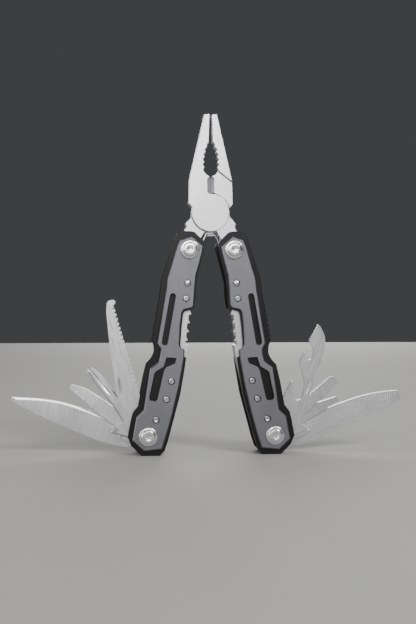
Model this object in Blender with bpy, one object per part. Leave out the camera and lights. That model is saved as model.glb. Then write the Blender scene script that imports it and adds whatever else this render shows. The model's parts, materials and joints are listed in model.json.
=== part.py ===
"""Folding multi tool: pliers head, two channel handles and eight tools that fold out of them.

Front is -Y, up is +Z. The tool stands on its handle ends with the jaws up and slightly open.
Every outline is written in millimetres on the XZ plane and given its thickness along Y.
Handle outlines use (x, v): x outwards from the line through the two pivots, v down from the
jaw pivot. Tool outlines use (a, b): a from the tool pivot to the tip, b away from the handle.
"""
import math

import bmesh
import bpy
from mathutils import Vector
from mathutils.geometry import tessellate_polygon

MM = 0.001
GAP = 0.3                    # clearance between pieces that touch on the real tool

# Pliers head, drawn closed: one half is the other turned half a turn about Z
DISC_R = 9.1                 # pivot disc
HALF_T = 3.0                 # half the thickness of the jaws
LAP = 0.15                   # each half stops this far short of the middle plane
JAW_TOP = 46.2               # pliers pivot to jaw tips
REST_OPEN = 0.6              # degrees that each jaw stands open
TANG = (10.115, -17.81)      # jaw pivot of the front half
TANG_R = 5.5
PIN_R = 3.0                  # captive pivot pin

# Handles
TILT = 12.5                  # degrees from upright
SPAN = 88.0                  # jaw pivot to tool pivot
CHANNEL = 5.3                # half the channel width
FRAME_T = 2.4
SCALE_T = 1.6
SCALE_FACE = CHANNEL + FRAME_T + GAP + SCALE_T
FOOT = (1.0, 97.5)           # outer end of the flat that the handle stands on
FOOT_INNER_X = -7.3

# Fasteners: place in (x, v)
BOLT_R = 2.4
BOLT_HOLE_R = BOLT_R + GAP
SPRING_RIVET = (-2.3, 15.4)
SPRING_SCREW = (-3.2, 22.4)
LOCK_AXLE = (-4.9, 61.0)
REST_PIN = (-4.35, 69.7)
SCALE_RIVET = (-1.8, 79.8)
SHANK_R = 0.8
AXLE_R = 1.15
HEAD_R = 1.3

# Tools: the four layers in the channel, front to back
LAYERS = ((-5.0, -3.5), (-3.1, -0.15), (0.15, 3.1), (3.5, 5.0))
CAM_R = 5.4                  # round tool root that the lock bar rides on

CENTRE_X = 0.147             # puts the middle of the whole width on x = 0


# --- plane geometry --------------------------------------------------------------------------

def arc(centre, radius, start, end, count):
    """Points on a circle, angles in degrees from +x towards +z."""
    steps = [math.radians(start + (end - start) * i / count) for i in range(count + 1)]
    return [(centre[0] + radius * math.cos(t), centre[1] + radius * math.sin(t)) for t in steps]


def curve(points, steps=3):
    """A smooth line through the given points (Catmull-Rom)."""
    line = []
    ends = [points[0]] + list(points) + [points[-1]]
    for i in range(1, len(ends) - 2):
        p0, p1, p2, p3 = ends[i - 1:i + 3]
        for step in range(steps):
            t = step / steps
            line.append(tuple(0.5 * (2 * b + (c - a) * t + (2 * a - 5 * b + 4 * c - d) * t * t
                                     + (3 * b - a - 3 * c + d) * t ** 3)
                              for a, b, c, d in zip(p0, p1, p2, p3)))
    line.append(tuple(points[-1]))
    return line


SQUARE_NOTCH = ((0.0, 0.0), (0.45, 0.0), (0.6, 1.0), (0.85, 1.0))
SLANTED_NOTCH = ((0.0, 0.0), (0.55, 0.0), (0.62, 1.0))


def teeth(start, end, count, depth, shape=SQUARE_NOTCH):
    """A straight line of notches, cut to the left of its direction.

    shape holds (share of the pitch, share of the depth) along one notch.
    """
    dx, dz = end[0] - start[0], end[1] - start[1]
    length = math.hypot(dx, dz)
    points = []
    for i in range(count):
        for part, share in shape:
            t, cut = (i + part) / count, depth * share
            points.append((start[0] + dx * t - dz / length * cut,
                           start[1] + dz * t + dx / length * cut))
    points.append(tuple(end))
    return points


def inset(points, distance):
    """The outline moved inwards by a distance, or by one distance for each point."""
    count = len(points)
    area = sum(points[i - 1][0] * points[i][1] - points[i][0] * points[i - 1][1]
               for i in range(count))
    turn = 1.0 if area > 0 else -1.0
    amounts = [distance] * count if isinstance(distance, (int, float)) else distance
    moved = []
    for i, amount in enumerate(amounts):
        before = Vector(points[i]) - Vector(points[i - 1])
        after = Vector(points[(i + 1) % count]) - Vector(points[i])
        n1 = Vector((-before.y, before.x)).normalized() * turn
        n2 = Vector((-after.y, after.x)).normalized() * turn
        shift = (n1 + n2) / max(0.6, 1 + n1.dot(n2)) * amount
        moved.append((points[i][0] + shift.x, points[i][1] + shift.y))
    return moved


# --- solids ----------------------------------------------------------------------------------

def finish_of(name, colour, metallic, roughness):
    """A plain material for the part's finish."""
    material = bpy.data.materials.new(name)
    material.use_nodes = True
    shader = material.node_tree.nodes["Principled BSDF"]
    shader.inputs["Base Color"].default_value = (*colour, 1.0)
    shader.inputs["Metallic"].default_value = metallic
    shader.inputs["Roughness"].default_value = roughness
    return material


def add_solid(name, points, faces, finish, parent):
    """One closed object from points in millimetres, with its faces turned outwards."""
    mesh = bpy.data.meshes.new(name)
    mesh.from_pydata([Vector(p) * MM for p in points], [], faces)
    work = bmesh.new()
    work.from_mesh(mesh)
    bmesh.ops.recalc_face_normals(work, faces=work.faces)
    work.to_mesh(mesh)
    work.free()
    mesh.shade_smooth()
    mesh.set_sharp_from_angle(angle=math.radians(35))
    piece = bpy.data.objects.new(name, mesh)
    bpy.context.collection.objects.link(piece)
    piece.parent = parent
    mesh.materials.append(finish)
    return piece


def loft(name, sections, finish, parent, holes=(), side=1, taper=None):
    """Outlines of equal point count at rising y, joined by walls and closed by flat ends.

    holes holds (x, z, radius) of round holes right through. taper(x, z) scales the thickness.
    """
    count = len(sections[0][1])
    middle = (sections[0][0] + sections[-1][0]) / 2
    points = []
    faces = []
    for y, outline in sections:
        for x, z in outline:
            scale = taper(x, z) if taper else 1.0
            points.append((x * side, middle + (y - middle) * scale, z))
    for level in range(len(sections) - 1):
        for i in range(count):
            j = (i + 1) % count
            low, high = level * count, (level + 1) * count
            faces.append((low + i, low + j, high + j, high + i))
    rings = []
    for x, z, radius in holes:
        circle = arc((x, z), radius, 0, 360, 20 if radius > 2 else 14)[:-1]
        ring = (len(points), len(points) + len(circle))
        points += [(cx * side, sections[0][0], cz) for cx, cz in circle]
        points += [(cx * side, sections[-1][0], cz) for cx, cz in circle]
        for i in range(len(circle)):
            j = (i + 1) % len(circle)
            faces.append((ring[0] + i, ring[0] + j, ring[1] + j, ring[1] + i))
        rings.append((ring, len(circle)))
    for end in (0, 1):
        first = 0 if end == 0 else (len(sections) - 1) * count
        index = list(range(first, first + count))
        loops = [[Vector((points[i][0], points[i][2], 0)) for i in index]]
        for ring, size in rings:
            loop = list(range(ring[end], ring[end] + size))
            loops.append([Vector((points[i][0], points[i][2], 0)) for i in loop])
            index += loop
        faces += [tuple(index[i] for i in triangle) for triangle in tessellate_polygon(loops)]
    return add_solid(name, points, faces, finish, parent)


def plate(name, outline, y0, y1, finish, parent, holes=(), side=1, chamfer=0.0, taper=None):
    """An outline given a thickness, with a small chamfer round both faces."""
    if chamfer:
        small = inset(outline, chamfer)
        sections = [(y0, small), (y0 + chamfer, outline), (y1 - chamfer, outline), (y1, small)]
    else:
        sections = [(y0, outline), (y1, outline)]
    return loft(name, sections, finish, parent, holes, side, taper)


def turned(name, profile, finish, parent, place=(0, 0), side=1, segments=12, ring=False):
    """A profile of (radius, y) turned about a line along Y through place.

    It starts and ends on that line, unless ring says that the profile closes on itself.
    """
    points = []
    faces = []
    rows = []
    for radius, y in profile:
        if radius == 0:
            rows.append([len(points)])
            points.append((place[0] * side, y, place[1]))
            continue
        rows.append(list(range(len(points), len(points) + segments)))
        circle = arc((place[0] * side, place[1]), radius, 0, 360, segments)[:-1]
        points += [(x, y, z) for x, z in circle]
    pairs = list(zip(rows, rows[1:])) + ([(rows[-1], rows[0])] if ring else [])
    for low, high in pairs:
        for i in range(segments):
            j = (i + 1) % segments
            corners = [low[i % len(low)], low[j % len(low)], high[j % len(high)], high[i % len(high)]]
            faces.append(tuple(dict.fromkeys(corners)))
    return add_solid(name, points, faces, finish, parent)


def empty(name, x, z, turn, parent=None):
    """A joint axis along Y: place in millimetres, turn in degrees clockwise from the front."""
    axis = bpy.data.objects.new(name, None)
    axis.location = (x * MM, 0, z * MM)
    axis.rotation_euler = (0, math.radians(turn), 0)
    axis.parent = parent
    axis.empty_display_size = 0.01
    bpy.context.collection.objects.link(axis)
    return axis


# --- pliers head -----------------------------------------------------------------------------

def jaw_outline():
    """Front half of the head: left jaw, disc and right tang, drawn closed, anticlockwise.

    Returns the outline and, for each point, how far its faces are ground back.
    """
    edge = 0.35
    outer = [(-9.95, 15.9), (-10.35, 4.4), (-9.15, 2.9)]
    lower_disc = arc((0, 0), DISC_R, 164, 285, 18)
    inner_tang = [(4.3, -12.0)]
    boss = arc(TANG, TANG_R, 172, 385, 16)
    outer_tang = [(12.75, -9.3), (11.4, -6.6), (12.0, -5.4), (11.3, -4.3), (9.2, -1.95)]
    upper_disc = arc((0, 0), DISC_R, -5, 90.3, 14)
    outline = outer + lower_disc + inner_tang + boss + outer_tang + upper_disc
    ground = [edge] * len(outline)
    cutter = [(-0.05, 9.6), (-0.05, 16.9)]
    outline += cutter
    ground += [1.5] * len(cutter)
    hole_z, width, up, down, pitch, depth = 22.4, 3.65, 10.9, 5.4, 2.4, 0.85
    hole = [(-0.5, 17.1), (-1.8, 17.8), (-2.9, 18.9)]
    for i in range(6):
        z = 20.2 + pitch * i
        for level, cut in ((z, 0.0), (z + pitch / 2, depth)):
            reach = up if level > hole_z else down
            half = width * math.sqrt(max(0.0, 1 - ((level - hole_z) / reach) ** 2))
            hole.append((-max(half - cut, 0.55), level))
    outline += hole + [(-0.6, 34.0), (-0.08, JAW_TOP), (-2.6, JAW_TOP)]
    ground += [0.12] * len(hole) + [0.12, 0.12, edge]
    return outline, ground


def jaw_half(name, mount, finish):
    """One half of the head, lapped at the disc so that the other half fits behind it."""
    outline, ground = jaw_outline()
    small = inset(outline, ground)
    part_way = inset(outline, [g * 0.85 if g > 1 else 0.0 for g in ground])
    sections = [(-HALF_T, small), (-HALF_T + 0.35, part_way), (-0.2, outline),
                (0.2, outline), (HALF_T - 0.35, part_way), (HALF_T, small)]
    hole = (TANG[0], TANG[1], BOLT_HOLE_R)
    half = loft(name, sections, finish, mount, holes=[hole])
    reach = HALF_T + 1
    bore = PIN_R + GAP
    lap = turned(name + "_lap_cutter",
                 [(0, -2.3), (bore, -2.3), (bore, -LAP), (DISC_R + GAP, -LAP),
                  (DISC_R + GAP, reach), (0, reach)], finish, mount, segments=40)
    low = [(-2.2, 20.2), (-14.0, 11.2), (-14.0, 0.0), (-2.2, 0.0)]
    high = [(-2.2, 21.5), (-14.0, 12.5), (-14.0, 0.0), (-2.2, 0.0)]
    relief = loft(name + "_relief_cutter", [(1.9, low), (reach, high)], finish, mount)
    for cutter in (lap, relief):
        cutter.hide_render = True
        cutter.display_type = "WIRE"
        cut = half.modifiers.new(cutter.name, "BOOLEAN")
        cut.operation = "DIFFERENCE"
        cut.object = cutter
    return half


def leaf_spring(name, radius, mount, finish, side):
    """Thin strip from a tang that curves under the disc and rubs on its partner."""
    thick = 0.25
    path = curve([(3.9, -15.9), (3.3, -13.2), (2.4, -11.3)], 4)[:-1]
    path += arc((0, 0), radius, -80, -98, 8)
    left, right = [], []
    for i, point in enumerate(path):
        ahead = Vector(path[min(i + 1, len(path) - 1)]) - Vector(path[max(i - 1, 0)])
        normal = Vector((-ahead.y, ahead.x)).normalized() * thick
        left.append((point[0] + normal.x, point[1] + normal.y))
        right.append((point[0] - normal.x, point[1] - normal.y))
    return plate(name, left + right[::-1], -2.2, 2.2, finish, mount, side=side)


# --- handles ---------------------------------------------------------------------------------

def foot_inner():
    """The inner end of the foot, level with FOOT when the handle is tilted."""
    drop = (FOOT[0] - FOOT_INNER_X) * math.tan(math.radians(TILT))
    return (FOOT_INNER_X, FOOT[1] - drop)


def frame_outline():
    """The dark channel side, in (x, v): wavy outer edge, flat foot, cut-out for the lock bar."""
    top = [(-6.9, -3.6), (-5.4, -5.5), (-0.7, -8.4), (1.0, -8.5), (6.2, -7.6), (7.4, -6.2)]
    outer = curve([(8.05, 0), (8.85, 10), (9.3, 15), (8.95, 20), (8.6, 25.5)], 2)
    grip = teeth((8.6, 26.5), (7.6, 45), 8, -0.45)
    notch = curve([(6.4, 46.8), (5.5, 50), (6.2, 53.3), (7.9, 56.2)], 3)
    lower = [(8.05, 64), (7.6, 75.5), (9.3, 79), (9.4, 83), (9.1, 90.3), (6.5, 94.0)]
    inner = [(-8.9, 92.8), (-9.4, 88), (-10.3, 66), (-9.75, 55), (-9.35, 49.2), (-8.1, 48.4)]
    window = [(-7.8, 46.1), (-6.2, 45.4), (-5.4, 44.0), (-4.1, 35), (-3.55, 29.4), (-4.0, 28.2)]
    upper = curve([(-7.9, 26.0), (-7.5, 20), (-6.4, 14), (-6.8, 0)], 2)
    return (top + outer + grip + notch + lower + [FOOT, foot_inner()] + inner + window + upper)


def scale_outline():
    """The bright outer plate, in (x, v): it follows the frame about 2 mm inside its edge."""
    outer = [(0.5, -6.2), (5.3, -3.3), (5.85, 0), (6.5, 10), (7.0, 15), (6.4, 20), (5.9, 30)]
    waist = [(5.0, 45.3), (3.0, 47.6), (2.65, 50), (2.7, 53.4), (5.95, 57.2), (5.45, 65)]
    foot = [(4.65, 76.6), (7.2, 80.5), (6.75, 91.3), (0.5, 95.0), (-7.4, 92.4)]
    inner = [(-8.1, 85), (-8.65, 75), (-8.85, 62), (-8.35, 50), (-7.7, 45.5), (-5.8, 45.0)]
    window = [(-4.9, 43.8), (-3.4, 35), (-2.9, 29.3), (-3.4, 27.7), (-7.1, 26.0)]
    upper = [(-7.4, 24.5), (-6.2, 17), (-5.5, 11), (-5.8, 5), (-6.0, 0), (-5.9, -2.7)]
    return outer + waist + foot + inner + window + upper


def slot_outlines():
    """The two see-through slots in a scale, in (x, v)."""
    upper = arc((2.95, 22.7), 1.4, 0, -180, 6) + arc((1.98, 44.2), 1.4, 180, 0, 6)
    lower = [(-0.3, 50.7), (-4.8, 50.1), (-4.7, 52.7), (-1.1, 55.2), (-0.5, 57), (-0.4, 70.6),
             (0.4, 71.6), (2.8, 71.6), (3.5, 70.4), (3.6, 59), (3.0, 57.9), (0.1, 55.2)]
    return upper, lower


def downwards(points):
    """(x, v) written as (x, z)."""
    return [(x, -v) for x, v in points]


def scale_plate(name, front, mount, side, finish):
    """A bright outer plate with its slots cut through and a chamfer round its outside face."""
    y0, y1 = SCALE_FACE - SCALE_T, SCALE_FACE
    chamfer = 0.5
    outline = downwards(scale_outline())
    sections = [(y0, outline), (y1 - chamfer, outline), (y1, inset(outline, chamfer))]
    if front:
        sections = [(-y, points) for y, points in reversed(sections)]
    holes = [(0, 0, BOLT_HOLE_R), (0, -SPAN, BOLT_HOLE_R)]
    for x, v in (SPRING_RIVET, SPRING_SCREW, LOCK_AXLE, REST_PIN, SCALE_RIVET):
        holes.append((x, -v, HEAD_R + GAP))
    body = loft(name, sections, finish, mount, holes, side)
    for number, slot in enumerate(slot_outlines()):
        middle = (y0 + y1) / 2 * (-1 if front else 1)
        cutter = plate(name + f"_slot_cutter_{number}", downwards(slot), middle - 2, middle + 2,
                       finish, mount, side=side)
        cutter.hide_render = True
        cutter.display_type = "WIRE"
        cut = body.modifiers.new(cutter.name, "BOOLEAN")
        cut.operation = "DIFFERENCE"
        cut.object = cutter
    return body


def frame_plate(name, front, mount, side, finish):
    """One dark side of the channel."""
    y0, y1 = CHANNEL, CHANNEL + FRAME_T
    if front:
        y0, y1 = -y1, -y0
    holes = [(0, 0, BOLT_HOLE_R), (0, -SPAN, BOLT_HOLE_R), (LOCK_AXLE[0], -LOCK_AXLE[1], AXLE_R + GAP)]
    for x, v in (SPRING_RIVET, SPRING_SCREW, REST_PIN, SCALE_RIVET):
        holes.append((x, -v, SHANK_R + GAP))
    return plate(name, downwards(frame_outline()), y0, y1, finish, mount, holes, side)


def pivot_bolt(name, v, mount, side, finish):
    """Button-headed bolt through the whole handle, with a round socket in its head."""
    face = SCALE_FACE + GAP
    profile = [(0, -face - 1.0), (1.2, -face - 1.0), (1.2, -face - 1.8), (2.9, -face - 1.8),
               (3.4, -face - 1.4), (3.4, -face - 0.6), (4.3, -face - 0.6), (4.3, -face),
               (BOLT_R, -face), (BOLT_R, face + 0.9), (0, face + 0.9)]
    return turned(name, profile, finish, mount, (0, -v), side)


def pivot_nut(name, v, mount, side, finish):
    """Cap nut over the end of a pivot bolt."""
    face = SCALE_FACE + GAP
    profile = [(0, face + 1.3), (BOLT_HOLE_R, face + 1.3), (BOLT_HOLE_R, face), (4.3, face),
               (4.3, face + 0.6), (3.4, face + 0.6), (3.4, face + 1.4), (2.9, face + 1.8),
               (0, face + 1.8)]
    return turned(name, profile, finish, mount, (0, -v), side)


def cross_pin(name, place, radius, mount, side, finish):
    """A pin right through the handle with a flush head in each scale."""
    face, under = SCALE_FACE - 0.1, SCALE_FACE - SCALE_T
    profile = [(0, -face), (HEAD_R, -face), (HEAD_R, -under), (radius, -under),
               (radius, under), (HEAD_R, under), (HEAD_R, face), (0, face)]
    return turned(name, profile, finish, mount, (place[0], -place[1]), side, segments=8)


def scale_rivet(name, front, mount, side, finish):
    """A short rivet that holds a scale to its frame."""
    face, under, end = SCALE_FACE - 0.3, SCALE_FACE - SCALE_T, CHANNEL + 0.1
    profile = [(0, face), (HEAD_R, face), (HEAD_R, under), (SHANK_R, under), (SHANK_R, end), (0, end)]
    if front:
        profile = [(radius, -y) for radius, y in profile]
    return turned(name, profile, finish, mount, (SCALE_RIVET[0], -SCALE_RIVET[1]), side, segments=8)


def washer(name, front, mount, side, finish):
    """Spacer ring between a frame and the tang of the jaw."""
    y0, y1 = HALF_T + GAP, CHANNEL - GAP
    if front:
        y0, y1 = -y1, -y0
    profile = [(BOLT_HOLE_R, y0), (4.6, y0), (4.6, y1), (BOLT_HOLE_R, y1)]
    return turned(name, profile, finish, mount, (0, 0), side, ring=True)


def lock_bar_outline():
    """Rocker between the frames, in (x, v): thumb pad above, hub, lock nose beside the tools."""
    pad = [(-3.4, 27.2), (-6.4, 26.9)]
    for x, v in ((-7.5, 28.9), (-7.7, 33.0), (-8.3, 37.1), (-8.6, 41.1)):
        pad += [(x, v), (x + 1.1, v + 0.5), (x + 0.9, v + 2.6)]
    strip = [(-8.0, 43.4), (-9.2, 43.4), (-9.3, 48.2), (-9.1, 60), (-9.0, 75), (-8.4, 87)]
    nose = [(-8.3, 91.2), (-5.8, 91.2), (-5.8, 84.5), (-6.3, 83.0), (-6.2, 64.2)]
    hub = arc((LOCK_AXLE[0], LOCK_AXLE[1]), 2.4, 110, -60, 10)
    inner = [(-4.9, 56.5), (-4.8, 43), (-4.4, 38), (-3.9, 33)]
    return pad + strip + nose + hub + inner


def lock_spring_outline():
    """Riveted foot and the leaf that presses the lock bar outwards, in (x, v)."""
    foot = [(-2.2, 12.9), (-0.75, 15.2), (-0.75, 17.5), (-1.0, 24.0)]
    leaf = [(-0.95, 27.0), (-1.7, 34.0), (-2.5, 42.0), (-3.15, 42.0), (-2.35, 34.0), (-1.6, 27.2)]
    return foot + leaf + [(-1.65, 25.6), (-6.6, 25.6), (-5.6, 12.9)]


# --- tools -----------------------------------------------------------------------------------

def root_outline():
    """Round tool root with the lock notch, from its upper to its lower side, in (a, b)."""
    notch = [(1.7, 5.1), (1.2, 4.2), (-1.2, 4.2), (-1.7, 5.1)]
    return [(4.2, 5.2)] + notch + arc((0, 0), CAM_R, 115, 290, 10)


def tool_blade(name, number, outline, mount, finish, ground=None, taper=None, chamfer=0.15):
    """A flat tool in one layer of the channel; ground is a list of distances for its bevels."""
    side = -1 if mount.name.startswith("left") else 1
    y0, y1 = LAYERS[number]
    points = [(b, a) for a, b in root_outline() + outline]
    shape = None
    if taper:
        def shape(x, z):
            return taper(z)
    holes = [(0, 0, BOLT_HOLE_R)]
    if not ground:
        return plate(name, points, y0, y1, finish, mount, holes, side, chamfer, shape)
    depths = [chamfer] * (len(points) - len(outline)) + ground
    small = inset(points, depths)
    middle = (y0 + y1) / 2
    sections = [(y0, small), (middle - 0.12, points), (middle + 0.12, points), (y1, small)]
    return loft(name, sections, finish, mount, holes, side, shape)


def thin_tip(start, end, share):
    """Full thickness up to start, then thinner down to share of it at end."""
    def scale(a):
        t = min(1.0, max(0.0, (a - start) / (end - start)))
        return 1.0 + (share - 1.0) * t
    return scale


def knife_outline():
    """Clip-less blade: straight falling spine and a rounded edge."""
    edge = curve([(12, -2.5), (22.5, -2.8), (33.5, -4.3), (43.5, -4.8), (53.5, -3.9), (66.3, -1.5)], 3)
    spine = curve([(66.0, 0.5), (53.5, 3.6), (38.5, 6.4), (23.5, 8.8), (15, 9.3), (7.0, 8.9)], 3)
    ground = [0.1] * 3 + [1.3] * (len(edge) - 4) + [0.4] + [0.1] * len(spine)
    return edge + spine, ground


def saw_outline():
    """Toothed edge towards the handle, hooked end."""
    edge = [(12, -1.6), (18.5, -1.2)] + teeth((19, -1.5), (61.5, -1.5), 20, 1.3, SLANTED_NOTCH)
    hook = [(62.0, -0.6), (62.8, -2.4), (63.8, -2.7), (64.8, -2.1), (65.0, 0.0), (64.3, 1.2)]
    spine = curve([(60, 2.7), (45, 5.4), (30, 7.3), (18, 8.8), (7.0, 8.9)], 3)
    return edge + hook + spine


def opener_outline():
    """Can-opener hook near the tip, bottle-opener hook near the root."""
    lower = [(12, -2.2), (19.2, -2.1), (26.2, -1.6), (26.5, -1.3)]
    bottle = curve([(22.2, 0.6), (19.3, 2.2), (18.8, 4.4), (21.2, 6.1), (27.2, 4.8), (32.2, 1.4)], 3)
    lip = curve([(34.2, -0.5), (37.0, -1.3), (40.4, -0.9)], 2)
    can = curve([(39.6, 0.3), (38.1, 2.0), (39.7, 3.4), (43.0, 3.1), (45.4, 1.2)], 3)
    tip = [(46.8, -0.9), (55.4, 0.2)]
    back = curve([(54.9, 1.8), (51.3, 5.6), (45, 7.6), (32, 8.5), (18, 9.2), (6.5, 9.2)], 3)
    return lower + bottle + lip + can + tip + back


def phillips_outline():
    """Cross-point driver with the pointed lug of its root."""
    lower = [(12, -2.4), (23.4, -2.3), (32.4, -3.1), (37.4, -3.2), (40.9, -2.3)]
    upper = [(41.9, -1.1), (40.4, 0.2), (35.4, 1.1), (24.4, 2.2), (18, 3.0), (12.7, 4.3)]
    return lower + upper + [(12.6, 8.3), (11.6, 8.7), (13.0, 11.2), (12.2, 11.4), (5.2, 7.4)]


def large_driver_outline():
    """Wide flat driver."""
    lower = [(12, -1.9), (24, -2.7), (33, -3.1), (37, -2.8), (42.6, -1.2)]
    upper = [(43.0, 0.5), (42.2, 1.2), (34, 2.5), (24, 4.1), (13.2, 5.1)]
    return lower + upper + [(8.6, 6.3), (11.2, 8.5), (5.2, 8.3)]


def medium_driver_outline():
    """Medium flat driver with a small step before its tip and the lug of its root."""
    lower = [(12, -1.8), (25.7, -2.0), (38.6, -1.8), (39.6, -0.8)]
    upper = [(39.7, 1.0), (38.6, 2.5), (30.6, 3.5), (29.6, 3.2), (15.7, 3.6), (13.9, 4.6)]
    return lower + upper + [(13.6, 6.4), (14.8, 9.2), (13.9, 9.4), (5.2, 7.2)]


def small_driver_outline():
    """Small flat driver and its lug."""
    lower = [(12, -2.4), (26, -2.8), (35.2, -1.4)]
    upper = [(35.6, 0.0), (35.0, 1.0), (26, 2.1), (16, 2.7)]
    return lower + upper + [(14.5, 4.4), (16.6, 7.7), (15.4, 8.2), (5.2, 7.2)]


def file_outline():
    """Leaf-shaped file with a blunt end."""
    lower = curve([(12, -2.4), (22, -2.5), (34.5, -4.1), (46.5, -4.8), (56.5, -4.2), (65.0, -2.7)], 3)
    upper = curve([(65.5, 1.9), (56.5, 4.1), (41.5, 6.5), (26.5, 8.6), (14, 9.6), (6.5, 9.2)], 3)
    return lower + upper


# --- assembly --------------------------------------------------------------------------------

def build_handle(word, mount, side, steel, bright, alloy, black):
    """All the pieces that move with one handle."""
    for front in (True, False):
        face = "front" if front else "back"
        scale_plate(f"{word}_{face}_scale", front, mount, side, alloy)
        frame_plate(f"{word}_{face}_frame", front, mount, side, black)
        scale_rivet(f"{word}_{face}_scale_rivet", front, mount, side, steel)
        washer(f"{word}_{face}_washer", front, mount, side, steel)
    for end, v in (("jaw", 0.0), ("tool", SPAN)):
        pivot_bolt(f"{word}_{end}_bolt", v, mount, side, bright)
        pivot_nut(f"{word}_{end}_nut", v, mount, side, bright)
    cross_pin(f"{word}_spring_rivet", SPRING_RIVET, SHANK_R, mount, side, bright)
    cross_pin(f"{word}_spring_screw", SPRING_SCREW, SHANK_R, mount, side, bright)
    cross_pin(f"{word}_lock_axle", LOCK_AXLE, AXLE_R, mount, side, bright)
    cross_pin(f"{word}_tool_rest_pin", REST_PIN, SHANK_R, mount, side, bright)
    spring_holes = [(x, -v, SHANK_R + GAP) for x, v in (SPRING_RIVET, SPRING_SCREW)]
    plate(f"{word}_lock_spring", downwards(lock_spring_outline()), -3.0, 3.0, steel, mount,
          spring_holes, side)
    axle = empty(f"{word}_lock_axis", LOCK_AXLE[0] * side, -LOCK_AXLE[1], 0, mount)
    outline = [(x - LOCK_AXLE[0], LOCK_AXLE[1] - v) for x, v in lock_bar_outline()]
    plate(f"{word}_lock_bar", outline, -5.0, 5.0, steel, axle, [(0, 0, AXLE_R + GAP)], side)


def build():
    """The whole tool at rest."""
    steel = finish_of("satin_stainless", (0.55, 0.55, 0.56), 1.0, 0.32)
    bright = finish_of("polished_stainless", (0.72, 0.72, 0.73), 1.0, 0.16)
    alloy = finish_of("bead_blasted_alloy", (0.33, 0.33, 0.34), 1.0, 0.5)
    black = finish_of("black_coated_steel", (0.012, 0.012, 0.013), 0.6, 0.38)

    open_rest = math.radians(REST_OPEN)
    pivot_x = TANG[0] * math.cos(open_rest) - TANG[1] * math.sin(open_rest)
    pivot_z = TANG[0] * math.sin(open_rest) + TANG[1] * math.cos(open_rest)
    tilt = math.radians(TILT)
    stand_height = FOOT[1] * math.cos(tilt) - FOOT[0] * math.sin(tilt) - pivot_z

    head = empty("pliers_axis", CENTRE_X, stand_height, 0)
    front = empty("front_half_axis", 0, 0, -REST_OPEN, head)
    back = empty("back_half_axis", 0, 0, REST_OPEN, head)
    turned_back = empty("back_half_turned", 0, 0, 0, back)
    turned_back.rotation_euler = (0, 0, math.pi)
    jaw_half("front_jaw", front, steel)
    jaw_half("back_jaw", turned_back, steel)
    turned("pliers_pivot_pin", [(0, -2.0), (PIN_R, -2.0), (PIN_R, 2.0), (0, 2.0)], bright, front)
    leaf_spring("front_jaw_spring", 10.6, front, steel, 1)
    leaf_spring("back_jaw_spring", 9.75, back, steel, -1)

    knife, ground = knife_outline()
    driver_tip = thin_tip(22, 38, 0.35)
    tools = {
        "left": (("saw", 0, 28.6, saw_outline(), {"chamfer": 0}),
                 ("phillips_driver", 1, 55.7, phillips_outline(), {"chamfer": 0.6}),
                 ("large_driver", 2, 70.7, large_driver_outline(), {"taper": driver_tip}),
                 ("knife", 3, 88.3, knife, {"ground": ground})),
        "right": (("opener", 0, 34.7, opener_outline(), {"chamfer": 0}),
                  ("medium_driver", 1, 61.4, medium_driver_outline(), {"taper": driver_tip}),
                  ("small_driver", 2, 76.5, small_driver_outline(), {"taper": driver_tip}),
                  ("file", 3, 87.7, file_outline(), {"chamfer": 0})),
    }
    for word, side in (("left", -1), ("right", 1)):
        mount = empty(f"{word}_handle_axis", side * pivot_x, pivot_z, -side * TILT, head)
        build_handle(word, mount, side, steel, bright, alloy, black)
        for name, number, opened, outline, options in tools[word]:
            axis = empty(f"{word}_{name}_axis", 0, -SPAN, side * opened, mount)
            tool_blade(name, number, outline, axis, steel, **options)


for old in list(bpy.data.objects):
    bpy.data.objects.remove(old, do_unlink=True)
build()
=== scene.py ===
# %% [markdown]
# # A folding multi tool in steel and aluminium
# A multi tool is a pliers head between two channel handles, with small tools that fold out of
# the channels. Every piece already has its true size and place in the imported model. This lesson
# gives each piece the edges, recesses and finish that the real one gets in the workshop.

import json
import math

import bmesh
import bpy
import numpy as np
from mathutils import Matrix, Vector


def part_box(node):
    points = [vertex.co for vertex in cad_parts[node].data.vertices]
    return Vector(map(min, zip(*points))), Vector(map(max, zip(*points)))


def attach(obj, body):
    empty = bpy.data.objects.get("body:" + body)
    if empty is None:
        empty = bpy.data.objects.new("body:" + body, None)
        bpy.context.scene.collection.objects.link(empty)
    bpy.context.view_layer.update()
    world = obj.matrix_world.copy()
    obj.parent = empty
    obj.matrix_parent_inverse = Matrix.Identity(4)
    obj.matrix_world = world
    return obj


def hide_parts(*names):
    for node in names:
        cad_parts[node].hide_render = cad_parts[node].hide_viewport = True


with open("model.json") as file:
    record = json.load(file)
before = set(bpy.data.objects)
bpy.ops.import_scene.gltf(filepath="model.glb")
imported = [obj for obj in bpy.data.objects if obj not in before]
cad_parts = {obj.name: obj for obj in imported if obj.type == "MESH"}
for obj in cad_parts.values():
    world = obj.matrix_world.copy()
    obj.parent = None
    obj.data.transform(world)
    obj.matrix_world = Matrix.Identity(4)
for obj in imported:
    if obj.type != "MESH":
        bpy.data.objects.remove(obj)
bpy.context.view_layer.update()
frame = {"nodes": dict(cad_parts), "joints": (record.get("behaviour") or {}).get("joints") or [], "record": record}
nodes = frame["nodes"]
joints = {joint["name"]: joint for joint in frame["joints"]}
body_of = {node: body for body, names in frame["record"]["behaviour"]["bodies"].items()
           for node in names}
MM = 0.001

# %% [markdown]
# ## Colours and nodes
# Colours are picked on a screen, as sRGB hex values, but a shader works in linear light, so one
# function converts them. A second one adds a shader node, sets it up and links it, which keeps
# each material below short enough to read as a recipe.

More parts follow.
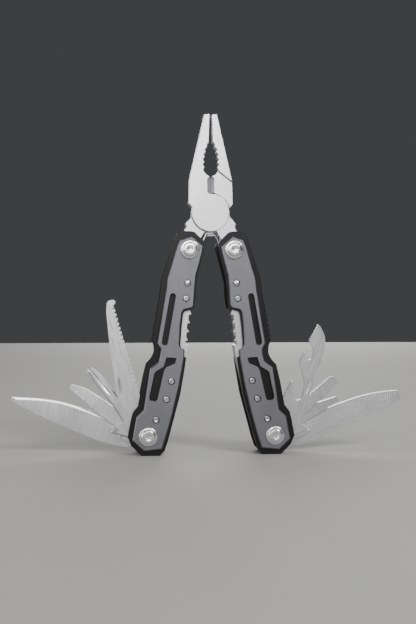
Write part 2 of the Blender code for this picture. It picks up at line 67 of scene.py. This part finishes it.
# %% Two helpers for materials
def linear(hex_colour):
    """sRGB hex to linear RGBA: each channel c becomes ((c + 0.055) / 1.055) ^ 2.4."""
    srgb = np.array([int(hex_colour[i:i + 2], 16) for i in (1, 3, 5)]) / 255
    rgb = np.where(srgb <= 0.04045, srgb / 12.92, ((srgb + 0.055) / 1.055) ** 2.4)
    return (*rgb.tolist(), 1.0)


def add(material, kind, inputs=None, **settings):
    """A new shader node of that kind, with its settings and its input values or links."""
    tree = material.node_tree
    node = tree.nodes.new("ShaderNode" + kind)
    for key, value in settings.items():
        setattr(node, key, value)
    for key, value in (inputs or {}).items():
        if isinstance(value, bpy.types.NodeSocket):
            tree.links.new(value, node.inputs[key])
        else:
            node.inputs[key].default_value = value
    return node


def metal(name, colour, metallic=1.0, roughness=0.3):
    """A material with its Principled shader set; patterns are linked in afterwards."""
    material = bpy.data.materials.new(name)
    material.use_nodes = True
    shader = material.node_tree.nodes["Principled BSDF"]
    shader.inputs["Base Color"].default_value = linear(colour)
    shader.inputs["Metallic"].default_value = metallic
    shader.inputs["Roughness"].default_value = roughness
    return material, shader


# %% [markdown]
# ## Ground and brushed stainless steel
# The blades are stainless steel, ground on a belt and left with fine parallel scratches. The
# scratches spread a highlight and make it flicker slightly from line to line. They are noise,
# stretched along one direction and squeezed across it, which drives the roughness, the tone and a
# shallow bump. Real belt lines are about 0.05 mm apart. They are drawn 0.35 to 0.5 mm apart, as
# finer ones would only average out at this size.

# %% Brushed steel
def brushed_steel(name, turn, colour, dark, roughness, spread, pitch=0.35, run=9.0, depth=0.012):
    """Steel with belt lines `pitch` mm apart and `run` mm long, `turn` degrees from upright."""
    material, shader = metal(name, colour, 1.0, roughness)
    place = add(material, "TexCoord").outputs["Object"]
    turned = add(material, "VectorRotate", {"Vector": place, "Angle": math.radians(turn)},
                 rotation_type="Y_AXIS").outputs["Vector"]
    lines = add(material, "Mapping", {"Vector": turned, "Scale": (
        1 / (pitch * MM), 1 / (pitch * MM), 1 / (run * MM))}).outputs["Vector"]
    grain = add(material, "TexNoise", {"Vector": lines, "Scale": 1.0, "Detail": 3.0,
                                       "Roughness": 0.6}).outputs["Fac"]
    clouds = add(material, "TexNoise", {"Vector": place, "Scale": 1 / (14 * MM),
                                        "Detail": 2.0}).outputs["Fac"]
    both = add(material, "Math", {0: grain, 1: clouds}, operation="ADD").outputs[0]
    rough = add(material, "MapRange", {"Value": both, "From Min": 0.6, "From Max": 1.4,
                                       "To Min": roughness - spread,
                                       "To Max": roughness + spread}).outputs["Result"]
    tone = add(material, "ValToRGB", {"Fac": grain})
    tone.color_ramp.elements[0].position, tone.color_ramp.elements[1].position = 0.3, 0.62
    tone.color_ramp.elements[0].color = linear(dark)
    tone.color_ramp.elements[1].color = linear(colour)
    bump = add(material, "Bump", {"Height": grain, "Distance": depth * MM, "Strength": 0.6})
    tree = material.node_tree
    tree.links.new(rough, shader.inputs["Roughness"])
    tree.links.new(tone.outputs["Color"], shader.inputs["Base Color"])
    tree.links.new(bump.outputs["Normal"], shader.inputs["Normal"])
    return material


jaw_steel = brushed_steel("satin_ground_stainless", 90, "#CFCFD0", "#BDBDBF", 0.34, 0.05, run=5)
print("made", jaw_steel.name)

# %% [markdown]
# ## Bead-blasted aluminium, black oxide and polished steel
# The outer plates of the handles are aluminium, blasted with glass beads and anodised grey, which
# gives an even, slightly sparkling matt surface. The channel sides are steel with a black coating,
# smooth enough for soft highlights along its edges. Bolts are polished, so they mirror the light.

# %% Blasted, coated and polished metals
def blasted(name, colour, dark, metallic, roughness, grit, depth):
    """A matt surface from a fine noise `grit` mm across, with broad clouds in its roughness."""
    material, shader = metal(name, colour, metallic, roughness)
    place = add(material, "TexCoord").outputs["Object"]
    grain = add(material, "TexNoise", {"Vector": place, "Scale": 1 / (grit * MM), "Detail": 2.0,
                                       "Roughness": 0.7}).outputs["Fac"]
    clouds = add(material, "TexNoise", {"Vector": place, "Scale": 1 / (11 * MM), "Detail": 3.0,
                                        "Roughness": 0.55}).outputs["Fac"]
    tone = add(material, "ValToRGB", {"Fac": grain})
    tone.color_ramp.elements[0].position, tone.color_ramp.elements[1].position = 0.32, 0.68
    tone.color_ramp.elements[0].color = linear(dark)
    tone.color_ramp.elements[1].color = linear(colour)
    rough = add(material, "MapRange", {"Value": clouds, "From Min": 0.3, "From Max": 0.7,
                                       "To Min": roughness - 0.05,
                                       "To Max": roughness + 0.06}).outputs["Result"]
    bump = add(material, "Bump", {"Height": grain, "Distance": depth * MM, "Strength": 0.7})
    tree = material.node_tree
    tree.links.new(tone.outputs["Color"], shader.inputs["Base Color"])
    tree.links.new(rough, shader.inputs["Roughness"])
    tree.links.new(bump.outputs["Normal"], shader.inputs["Normal"])
    return material


alloy = blasted("bead_blasted_aluminium", "#75757A", "#67676B", 1.0, 0.46, 0.45, 0.02)
black = blasted("black_oxide_steel", "#161617", "#0F0F10", 0.55, 0.36, 0.4, 0.008)
polished = brushed_steel("polished_stainless", 0, "#E2E2E3", "#D6D6D8", 0.22, 0.03, pitch=0.5,
                         run=0.5, depth=0.003)
screw_steel = blasted("zinc_plated_steel", "#BBBCBF", "#B0B1B4", 1.0, 0.3, 0.3, 0.004)
spring_steel = brushed_steel("blued_spring_steel", 12.5, "#9B9CA0", "#87888C", 0.26, 0.04, run=6)
print("made", alloy.name, black.name, polished.name, screw_steel.name, spring_steel.name)

# %% [markdown]
# ## New pieces from numbers
# A mesh is a list of points and a list of faces. Both are worked out as whole arrays. The last
# step measures the signed volume: if it is negative the faces look inwards, and all are turned.


def adopt(made, node, volume, stands_for=True):
    """Ties a finished object to a CAD node: it rides with it, and usually stands for it."""
    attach(made, body_of[node])
    if stands_for:
        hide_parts(node)
    print(f"{made.name}: {len(made.data.polygons)} faces, {volume / MM ** 3:.0f} cubic mm")
    return made


SMOOTH_BELOW = math.radians(30)  # corners flatter than this are shaded as one curved surface


def piece(name, points, faces, material, node, stands_for=True):
    """A closed object from arrays in metres, with its faces turned outwards."""
    mesh = bpy.data.meshes.new(name)
    mesh.from_pydata(points.tolist(), [], faces)
    work = bmesh.new()
    work.from_mesh(mesh)
    bmesh.ops.recalc_face_normals(work, faces=work.faces)
    if work.calc_volume(signed=True) < 0:
        bmesh.ops.reverse_faces(work, faces=work.faces)
    work.to_mesh(mesh)
    volume = work.calc_volume()
    work.free()
    mesh.shade_smooth()
    mesh.set_sharp_from_angle(angle=SMOOTH_BELOW)
    made = bpy.data.objects.new(name, mesh)
    bpy.context.scene.collection.objects.link(made)
    mesh.materials.append(material)
    return adopt(made, node, volume, stands_for)


# %% [markdown]
# ## Turned bolts, nuts, screws and rivets
# A button-head bolt is turned on a lathe, so its shape is one profile carried round an axis. The
# drive recess isn't round: its radius swells and shrinks six times in a turn, as a six-lobe driver
# needs. That swelling is a weight on each row of the profile, so the rows outside it stay round.
# A cross recess or a dimple is pressed into the finished face by a second formula.

# %% Surfaces of revolution
def middle_of(node):
    """The middle of a CAD node's box, as (x, z) in metres."""
    low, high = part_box(node)
    return (low.x + high.x) / 2, (low.z + high.z) / 2


END_DEPTH = 0.3  # mm from either end of a turned piece within which a recess is pressed in


def lathe(profile, centre, lobes=0.0, press=None, segments=64):
    """Profile of (radius, y) in mm carried round the line along Y through centre.

    Point (i, j) = centre + radius_i (1 + lobe_i cos 6 t_j) (cos t_j, sin t_j), at height y_i.
    The profile starts and ends on the axis, where the rows close in a pole. press(x, z) in mm
    is how far a point of either end face is pushed towards the middle of the piece.
    """
    radius, height = np.array(profile).T
    turn = np.linspace(0, 2 * math.pi, segments, endpoint=False)
    swell = np.outer(np.broadcast_to(lobes, radius.shape), np.cos(6 * turn))
    reach = radius[:, None] * (1 + swell)
    grid = np.stack([reach * np.cos(turn), np.repeat(height[:, None], segments, 1),
                     reach * np.sin(turn)], axis=-1)
    points = np.vstack([grid[1:-1].reshape(-1, 3), grid[0, 0], grid[-1, 0]])
    if press:
        x, y, z = points.T
        at_end = np.minimum(y.max() - y, y - y.min()) < END_DEPTH
        points[:, 1] -= np.sign(y - (y.min() + y.max()) / 2) * press(x, z) * at_end
    points = points * MM + np.array([centre[0], 0, centre[1]])
    rows = len(profile)
    i, j = np.meshgrid(np.arange(rows - 3), np.arange(segments), indexing="ij")
    k = (j + 1) % segments
    quads = np.stack([i * segments + j, i * segments + k, (i + 1) * segments + k,
                      (i + 1) * segments + j], axis=-1).reshape(-1, 4)
    around = np.arange(segments)
    ahead = (around + 1) % segments
    last = (rows - 3) * segments
    pole = (rows - 2) * segments
    caps = np.vstack([np.stack([around, ahead, np.full(segments, pole)], 1),
                      np.stack([last + around, last + ahead, np.full(segments, pole + 1)], 1)])
    return points, quads.tolist() + caps.tolist()


def rounded(profile, corner, steps=4):
    """The profile with each corner replaced by a small curve (quadratic Bezier) `corner` long."""
    points = np.array(profile, float)
    line = [points[:1]]
    t = np.linspace(0, 1, steps)[:, None]
    for before, at, after in zip(points[:-2], points[1:-1], points[2:]):
        back, on = before - at, after - at
        cut = min(corner, np.linalg.norm(back) * 0.45, np.linalg.norm(on) * 0.45)
        start, end = at + back / np.linalg.norm(back) * cut, at + on / np.linalg.norm(on) * cut
        line.append((1 - t) ** 2 * start + 2 * t * (1 - t) * at + t ** 2 * end)
    line.append(points[-1:])
    return np.vstack(line)


# %% [markdown]
# ## Bolts and cap nuts
# A bolt's head has a flange, a domed button on it and the recess in the middle. The cap nut at the
# back looks the same but is hollow, because the bolt's shank ends inside it. Both profiles are
# measured from the outer face of the head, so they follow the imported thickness.

# %% Bolts and cap nuts
SWELL, SWELL_WITHIN = 0.16, 1.45  # the recess swells by 16% of its radius, within 1.45 mm
for word in ("left", "right"):
    for end in ("jaw", "tool"):
        bolt, nut = f"{word}_{end}_bolt", f"{word}_{end}_nut"
        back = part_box(nut)[1].y / MM
        front = -back
        profile = rounded([
            (0, front + 0.95), (1.28, front + 0.9), (1.34, front + 0.12), (1.6, front + 0.02),
            (2.7, front + 0.06), (3.35, front + 0.5), (3.4, front + 1.0), (3.2, front + 1.16),
            (3.95, front + 1.2), (4.3, front + 1.42), (4.3, front + 1.8), (2.4, front + 1.8),
            (2.4, back - 0.9), (0, back - 0.9)], 0.14)
        recess = (profile[:, 0] < SWELL_WITHIN) & (profile[:, 1] < front + 1.5)
        piece(bolt + "_turned", *lathe(profile, middle_of(bolt), np.where(recess, SWELL, 0.0)),
              polished, bolt)
        profile = rounded([
            (0, back - 0.5), (2.7, back - 0.5), (2.7, back - 1.8), (4.3, back - 1.8),
            (4.3, back - 1.42), (3.95, back - 1.2), (3.2, back - 1.16), (3.4, back - 1.0),
            (3.35, back - 0.5), (2.7, back - 0.06), (1.6, back - 0.02), (1.34, back - 0.1),
            (1.28, back - 0.33), (0, back - 0.35)], 0.1)
        recess = (profile[:, 0] < SWELL_WITHIN) & (profile[:, 1] > back - 0.4)
        piece(nut + "_turned", *lathe(profile, middle_of(nut), np.where(recess, SWELL, 0.0)),
              polished, nut)

# %% [markdown]
# ## Screws and rivets
# The small fasteners are stepped pins. A screw gets a cross pressed into its flat head, a rivet
# stays slightly domed, and the short rivets of the outer plates get a shallow bowl. Extra rings of
# points across the head give the press something to bend.

# %% Screws and rivets
def cross(x, z):
    """Two grooves 0.55 mm deep, turned 25 degrees, with sides that slope over 0.1 mm.

    Depth = 0.55 (0.26 - d) / 0.1 times (0.92 - r) / 0.12, each factor kept from 0 to 1, for d
    from the nearer groove's line and r from the middle.
    """
    c, d = math.cos(math.radians(25)), math.sin(math.radians(25))
    near = np.minimum(np.abs(c * x + d * z), np.abs(c * z - d * x))
    inside = np.clip((0.26 - near) / 0.1, 0, 1) * np.clip((0.92 - np.hypot(x, z)) / 0.12, 0, 1)
    return 0.55 * inside


def dimple(x, z):
    """A bowl 0.3 mm deep and 1.8 mm wide: depth = 0.3 (1 - (r / 0.9)^2)."""
    return 0.3 * np.clip(1 - (np.hypot(x, z) / 0.9) ** 2, 0, 1)


HEAD = 1.02  # radius of the flat of a small head, in mm
rings = np.linspace(0.07, HEAD, 12)
for word in ("left", "right"):
    for kind, shank in (("spring_rivet", 0.8), ("spring_screw", 0.8), ("lock_axle", 1.15),
                        ("tool_rest_pin", 0.8)):
        node = f"{word}_{kind}"
        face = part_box(node)[1].y / MM
        domed = kind == "spring_rivet"
        dome = 0.22 * (1 - (rings / HEAD) ** 2) - 0.22 if domed else 0 * rings
        head = [(0, face)] + list(zip(rings, face + dome - dome[0])) + [
            (1.22, face + dome[-1] - dome[0] - 0.06), (1.3, face - 0.3), (1.3, face - 1.5),
            (shank, face - 1.5)]
        profile = head + [(radius, -height) for radius, height in reversed(head)]
        pressed = None if domed else cross
        piece(node + "_turned", *lathe(profile, middle_of(node), press=pressed, segments=56),
              screw_steel, node)
    for side, sign in (("front", -1), ("back", 1)):
        node = f"{word}_{side}_scale_rivet"
        low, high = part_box(node)
        outer, inner = sorted((abs(low.y) / MM, abs(high.y) / MM), reverse=True)
        profile = [(0, outer)] + [(radius, outer) for radius in rings] + [
            (1.2, outer - 0.04), (1.3, outer - 0.2), (1.3, outer - 1.2), (0.8, outer - 1.2),
            (0.8, inner), (0, inner)]
        profile = [(radius, sign * height) for radius, height in profile]
        piece(node + "_turned", *lathe(profile, middle_of(node), press=dimple, segments=40),
              screw_steel, node)

# %% [markdown]
# ## The pivot disc
# Where the two halves of the pliers cross, a round land stands a little proud of the jaws. It is
# faced on the lathe, and its rounded rim draws a thin bright circle.

# %% Raised pivot lands
pivot = np.array(joints["pliers_pivot"]["pos_m"])
PROUD, SUNK = 3.14, 2.6  # mm from the middle plane to the land's face and to its hidden underside
for node, sign in (("front_jaw", -1), ("back_jaw", 1)):
    top, base = sign * PROUD, sign * SUNK
    rim = rounded([(8.4, top), (8.74, top), (8.88, sign * 2.9), (8.88, base)], 0.16, 5)
    land = [(0, top), (8.3, top), *rim, (0, base)]
    piece(node + "_pivot_land", *lathe(land, (pivot[0], pivot[2]), segments=120), jaw_steel, node,
          stands_for=False)

# %% [markdown]
# ## Leaf springs
# Under the disc two thin strips of spring steel cross over each other and push the handles apart.
# Each is bent from flat strip, so it is one small section, with its corners rounded, carried along
# a smooth curve. The section stays square to the curve at every step.

# %% Strips carried along a curve
REST_OPEN = math.radians(0.6)  # how far each half stands open from its closed drawing


def smooth_line(points, steps=8):
    """A Catmull-Rom curve through the points, for four neighbours a, b, c, d and t from 0 to 1:

    0.5 (2b + (c - a) t + (2a - 5b + 4c - d) t^2 + (3b - a - 3c + d) t^3)
    """
    p = np.array([points[0], *points, points[-1]], float)
    a, b, c, d = (p[i:len(p) - 3 + i, None, :] for i in range(4))
    t = np.linspace(0, 1, steps, endpoint=False)[None, :, None]
    line = 0.5 * (2 * b + (c - a) * t + (2 * a - 5 * b + 4 * c - d) * t ** 2
                  + (3 * b - a - 3 * c + d) * t ** 3)
    return np.vstack([line.reshape(-1, 2), points[-1]])


def strip(path, section):
    """Point (i, j) = path_i + normal_i u_j, at height w_j, for a section of (u, w) in mm."""
    ahead = np.gradient(path, axis=0)
    ahead /= np.linalg.norm(ahead, axis=1)[:, None]
    normal = np.stack([-ahead[:, 1], ahead[:, 0]], 1)
    plan = path[:, None, :] + normal[:, None, :] * section[None, :, :1]
    across = np.broadcast_to(section[:, 1], plan.shape[:2])
    points = np.stack([plan[..., 0], across, plan[..., 1]], axis=-1).reshape(-1, 3)
    rows, size = plan.shape[:2]
    i, j = np.meshgrid(np.arange(rows - 1), np.arange(size), indexing="ij")
    k = (j + 1) % size
    quads = np.stack([i * size + j, i * size + k, (i + 1) * size + k, (i + 1) * size + j],
                     axis=-1).reshape(-1, 4)
    ends = [list(range(size)), list(range((rows - 1) * size, rows * size))]
    return points * MM + pivot * [1, 0, 1], quads.tolist() + ends


thick, wide = 0.25, 2.2  # half of the strip's thickness and width, in mm
section = rounded([(thick, 0), (thick, wide), (-thick, wide), (-thick, -wide), (thick, -wide),
                   (thick, 0)], 0.14)[:-1]
for node, side, radius in (("front_jaw_spring", 1, 10.6), ("back_jaw_spring", -1, 9.75)):
    t = np.radians(np.linspace(-80, -98, 5))
    bend = smooth_line([(3.9, -15.9), (3.3, -13.2), (2.4, -11.3),
                        *zip(radius * np.cos(t), radius * np.sin(t))])
    x, z = bend.T
    path = np.stack([side * (x * math.cos(REST_OPEN) - z * math.sin(REST_OPEN)),
                     x * math.sin(REST_OPEN) + z * math.cos(REST_OPEN)], axis=1)
    piece(node + "_bent", *strip(path, section), spring_steel, node)

# %% [markdown]
# ## Where each tool points
# The small tools lie at different angles, so grooves and belt lines are easiest to place in a
# tool's own measures: a runs from its pivot to its tip, and b runs across it, away from the
# handle. The pivot comes from the joint, and the angle from how far the tool stands open.

# %% The tools' own axes
LEAN = 12.5  # degrees by which each handle stands off upright
# tool: its joint's name, which side it is on, and how many degrees it stands open
OPENED = {"saw": ("saw", -1, 28.6), "phillips_driver": ("phillips", -1, 55.7),
          "large_driver": ("large_driver", -1, 70.7), "knife": ("knife", -1, 88.3),
          "opener": ("opener", 1, 34.7), "medium_driver": ("medium_driver", 1, 61.4),
          "small_driver": ("small_driver", 1, 76.5), "file": ("file", 1, 87.7)}


def axes_of(tool):
    """The pivot, and unit vectors along and across a tool, in the model's own frame."""
    joint, side, opened = OPENED[tool]
    lean = math.radians(opened - LEAN)
    along = np.array([side * math.sin(lean), 0, math.cos(lean)])
    across = np.array([side * math.cos(lean), 0, -math.sin(lean)])
    return np.array(joints[joint + "_fold"]["pos_m"]), along, across


def belt_turn(tool):
    """Degrees that bring a tool's length upright, for the belt lines of its steel."""
    joint, side, opened = OPENED[tool]
    return -side * (opened - LEAN)


blade_steel = {}
for tool in OPENED:
    across_it = 90 if tool in ("knife", "large_driver", "medium_driver", "small_driver") else 0
    blade_steel[tool] = brushed_steel("belt_ground_stainless_" + tool, belt_turn(tool) + across_it,
                                      "#D4D4D6", "#B9B9BC", 0.31, 0.06, pitch=0.4, run=7)
print("made", len(blade_steel), "blade steels")

# %% [markdown]
# ## Broken edges
# No workshop leaves a knife-sharp corner on a plate: it is tumbled or filed until the corner is a
# small round, and that round is what catches the light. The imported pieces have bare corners. A
# copy of each is welded, its flat faces are joined up again, and the Bevel modifier rounds every
# corner sharper than 28 degrees. Weighted normals keep the wide faces flat to the eye.

# %% A copy with broken edges
WELD = 2e-6  # metres between points that are the same point
COPLANAR = math.radians(0.6)  # between faces that are the same flat face


def broken_edges(node, material, width, segments=2, sharp=28, cut=None, ridges=False):
    """A copy of a CAD node with its corners rounded by `width` mm, after an optional cut.

    Corners below `sharp` degrees stay as they are. ridges shades every face flat.
    """
    work = bmesh.new()
    work.from_mesh(nodes[node].data)
    bmesh.ops.remove_doubles(work, verts=work.verts, dist=WELD)
    bmesh.ops.dissolve_limit(work, angle_limit=COPLANAR, verts=work.verts, edges=work.edges)
    if cut:
        cut(work)
    mesh = bpy.data.meshes.new(node + "_finished")
    work.to_mesh(mesh)
    volume = work.calc_volume()
    work.free()
    if ridges:
        mesh.shade_flat()
    else:
        mesh.shade_smooth()
    made = bpy.data.objects.new(node + "_finished", mesh)
    bpy.context.scene.collection.objects.link(made)
    mesh.materials.clear()
    mesh.materials.append(material)
    bevel = made.modifiers.new("broken_edges", "BEVEL")
    bevel.width, bevel.segments = width * MM, segments
    bevel.limit_method, bevel.angle_limit = "ANGLE", math.radians(sharp)
    bevel.miter_outer = "MITER_ARC"
    if not ridges:
        even = made.modifiers.new("flat_faces_stay_flat", "WEIGHTED_NORMAL")
        even.mode, even.weight = "FACE_AREA", 100
    return adopt(made, node, volume)


for node in nodes:
    if node.endswith("_scale"):
        broken_edges(node, alloy, 0.18)
    elif node.endswith("_frame"):
        broken_edges(node, black, 0.35, 3)
    elif node.endswith(("_jaw", "_lock_bar")):
        broken_edges(node, jaw_steel, 0.15)
    elif node in ("knife", "large_driver", "medium_driver", "small_driver"):
        broken_edges(node, blade_steel[node], 0.1)

# %% [markdown]
# ## Nail nicks, flutes and file cuts
# A groove needs points to bend, and a flat face has none. So the face is first sliced along and
# across the groove, which leaves a fine net there, and the net's points are then pressed in by a
# formula. The same two steps make a lens-shaped nail nick, a flute of the cross-point driver and
# the slanted cuts of the file.

# %% Slicing and pressing
ON_PLANE = 1e-7  # metres from a slicing plane within which a point counts as on it
ON_FACE = 2e-5  # metres from a plate's outermost point within which a point is on its face


def slice_faces(work, origin, normal, offsets):
    """Cuts the flat faces of a plate with one plane for each offset along normal, in metres."""
    for offset in offsets:
        work.normal_update()
        flats = [face for face in work.faces if abs(face.normal.y) > 0.9]
        edges = {edge for face in flats for edge in face.edges}
        corners = {corner for face in flats for corner in face.verts}
        bmesh.ops.bisect_plane(work, geom=list(set(flats) | edges | corners), dist=ON_PLANE,
                               plane_co=origin + normal * offset, plane_no=normal)


def press_in(work, depth_at, faces=(-1, 1)):
    """Moves the points of the front (-1) or back (1) face inwards by depth_at(points) metres."""
    points = np.array([vertex.co for vertex in work.verts])
    low, high = points[:, 1].min(), points[:, 1].max()
    on_face = np.zeros(len(points))
    if -1 in faces:
        on_face[points[:, 1] < low + ON_FACE] = 1
    if 1 in faces:
        on_face[points[:, 1] > high - ON_FACE] = -1
    points[:, 1] += on_face * depth_at(points)
    for vertex, y in zip(work.verts, points[:, 1]):
        vertex.co.y = y


def nick(tool, start, end, half, depth, faces=(-1, 1)):
    """A cut with a lens outline from start to end, given as (a, b) in mm.

    Depth = depth (1 - u^2) (1 - (v / w)^2), where v is the distance from the groove's line and
    w is half sqrt(1 - u^2), with u running from -1 to 1 along the groove.
    """
    pivot, along, across = axes_of(tool)
    first = pivot + (along * start[0] + across * start[1]) * MM
    last = pivot + (along * end[0] + across * end[1]) * MM
    length = np.linalg.norm(last - first)
    run = (last - first) / length
    side = np.array([run[2], 0, -run[0]])

    def depth_at(points):
        u = 2 * (points - first) @ run / length - 1
        v = (points - first) @ side
        wide = half * MM * np.sqrt(np.clip(1 - u ** 2, 1e-6, 1))
        return depth * MM * np.clip(1 - u ** 2, 0, 1) * np.clip(1 - (v / wide) ** 2, 0, 1)

    def cut(work):
        slice_faces(work, first, run, np.linspace(0, 1, 15) * length)
        slice_faces(work, first, side, np.linspace(-1, 1, 9) * half * MM)
        press_in(work, depth_at, faces)

    return cut


def file_cuts(pitch=0.9, depth=0.11, slant=20):
    """Ridges across the file: a triangle wave of that pitch in mm, slanted by some degrees.

    Depth = depth (1 - |2 p - 1|), where p is how far the point is through its own pitch, from 0
    to 1. It applies 15 to 62 mm from the pivot, and one slice runs along each crest and trough.
    """
    pivot, along, across = axes_of("file")
    t = math.radians(slant)
    wave = along * math.cos(t) + across * math.sin(t)

    def depth_at(points):
        phase = (points - pivot) @ wave / (pitch * MM)
        a = (points - pivot) @ along / MM
        return depth * MM * (1 - np.abs(2 * (phase % 1) - 1)) * (a > 15) * (a < 62)

    def cut(work):
        slice_faces(work, pivot, wave, np.arange(34, 140) * pitch / 2 * MM)
        press_in(work, depth_at)

    return cut


broken_edges("saw", blade_steel["saw"], 0.1,
             cut=nick("saw", (20.5, 6.5), (30, 5.7), 0.6, 0.4, (-1,)))
broken_edges("opener", blade_steel["opener"], 0.1,
             cut=nick("opener", (23, 7.4), (31, 6.2), 0.45, 0.35, (-1,)))
broken_edges("phillips_driver", blade_steel["phillips_driver"], 0.1,
             cut=nick("phillips_driver", (25, -0.2), (45, -1.3), 0.85, 0.9))
broken_edges("file", blade_steel["file"], 0.08, sharp=55, cut=file_cuts(), ridges=True)

# %% [markdown]
# ## Camera
# The camera stands at the height of the tool's middle and looks level, a little from the left. Its
# lens follows from its distance and from how much height it has to take in.

# %% Camera
def aim(thing, place, target):
    """Puts a camera or light at a place, looking at a target."""
    thing.location = place
    direction = (np.array(target) - np.array(place)).astype(float)
    level = math.hypot(direction[0], direction[1])
    thing.rotation_euler = (math.pi / 2 + math.atan2(direction[2], level), 0,
                            math.atan2(-direction[0], direction[1]))


AZIMUTH, DISTANCE = math.radians(-5.2), 0.42
SENSOR, VIEW_HEIGHT = 36, 0.294  # the sensor in mm, and the height in view at the tool in metres
target = (-0.0009, 0.0, 0.0662)
eye = (target[0] + DISTANCE * math.sin(AZIMUTH), -DISTANCE * math.cos(AZIMUTH), target[2])
camera_data = bpy.data.cameras.new("camera")
camera_data.sensor_fit = "VERTICAL"
camera_data.sensor_height = SENSOR
camera_data.lens = SENSOR * DISTANCE / VIEW_HEIGHT
camera = bpy.data.objects.new("camera", camera_data)
bpy.context.scene.collection.objects.link(camera)
aim(camera, eye, target)
bpy.context.scene.camera = camera
print("camera lens in mm:", round(camera_data.lens, 1))

# %% [markdown]
# ## A floor
# A matt floor keeps its own reflections out of the steel. It is one wide sheet, so that it also
# reaches behind the tool when the camera moves round.

# %% Floor
floor_material = metal("pale_matt_floor", "#989794", 0.0, 0.8)[0]
reach = np.array([-1.5, 1.5])
sheet = np.array([[x, y, 0.0] for y in reach for x in reach])
floor_mesh = bpy.data.meshes.new("floor")
floor_mesh.from_pydata(sheet.tolist(), [], [(0, 1, 3, 2)])
floor_mesh.materials.append(floor_material)
floor = bpy.data.objects.new("floor", floor_mesh)
bpy.context.scene.collection.objects.link(floor)
print("floor:", round(float(reach[1] - reach[0]), 1), "metres square")

# %% [markdown]
# ## Lights
# Metal shows what it reflects, so the lights are large and soft. The key stands high on the
# right, a broad one in front gives the steel its even grey, and others do the same for the left
# edges and the back. None of them shows itself to the camera.

# %% Lights
def softbox(name, place, size, power, target=(0, 0, 0.07)):
    """A square area light of `size` metres and `power` watts, aimed at the tool."""
    light = bpy.data.lights.new(name, "AREA")
    light.shape, light.size, light.energy = "SQUARE", size, power
    lamp = bpy.data.objects.new(name, light)
    bpy.context.scene.collection.objects.link(lamp)
    aim(lamp, place, target)
    lamp.visible_camera = False


softbox("key", (0.6, -0.8, 0.8), 0.45, 13)
softbox("front", (-0.2, -1.7, 0.7), 0.9, 21)
softbox("left_fill", (-1.1, -0.3, 0.35), 0.8, 7)
softbox("top", (0.2, 0.3, 1.5), 0.8, 5)
softbox("rear", (0.3, 1.7, 0.7), 0.9, 17)
world = bpy.data.worlds.new("studio")
world.use_nodes = True
background = world.node_tree.nodes["Background"]
background.inputs["Color"].default_value = linear("#8E9093")
background.inputs["Strength"].default_value = 0.2
bpy.context.scene.world = world
print("lights:", len(bpy.data.lights))

# %% [markdown]
# ## Finishes for the pieces that stay as they are
# Washers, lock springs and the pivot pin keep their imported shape, since little of them is seen.
# They only need the right metal, which follows from what each one is called. The hidden pieces
# that others stand for get theirs in the same way.

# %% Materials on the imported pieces
def finish_for(node):
    """The finish of a CAD node, from its name."""
    if node.endswith("_scale"):
        return alloy
    if node.endswith("_frame"):
        return black
    if node.endswith(("_bolt", "_nut")):
        return polished
    if node.endswith(("_rivet", "_screw", "_axle", "_pin", "_washer")):
        return screw_steel
    if node.endswith("_spring"):
        return spring_steel
    return jaw_steel


for name, thing in nodes.items():
    thing.data.materials.clear()
    thing.data.materials.append(finish_for(name))
print("finished", len(nodes), "packed pieces")
